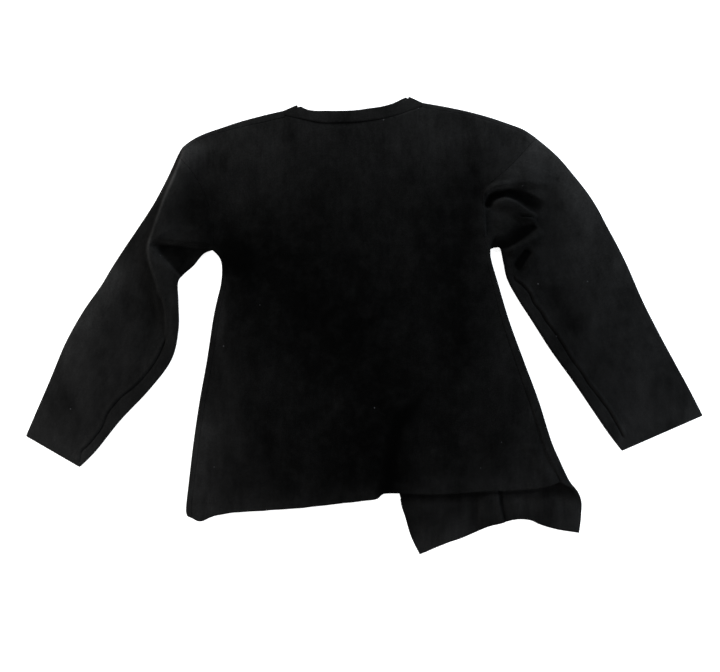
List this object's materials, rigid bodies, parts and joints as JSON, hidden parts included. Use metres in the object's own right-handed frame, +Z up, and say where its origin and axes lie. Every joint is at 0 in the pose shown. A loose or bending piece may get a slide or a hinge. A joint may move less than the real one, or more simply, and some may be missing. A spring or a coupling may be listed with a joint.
{
  "type": "knit blazer",
  "caption": "Collarless long-sleeved blazer of thick black knit, open down an uneven front, laid flat with its back up.",
  "frame": {"origin": "on the surface it lies on, under the right front near the middle of the garment", "axes": "+X across the garment to the wearer's right, +Y from the hem towards the neck, +Z up from the surface"},
  "size_m": [1.128, 0.762, 0.0193],
  "materials": {
    "knit": "matte felted double knit with a short nap",
    "band_knit": "matte fine rib knit"
  },
  "bodies": {
    "root": {"back": "knit", "front_left": "knit", "front_right": "knit", "sleeve_left": "knit", "sleeve_right": "knit", "neckband": "band_knit"}
  },
  "joints": []
}
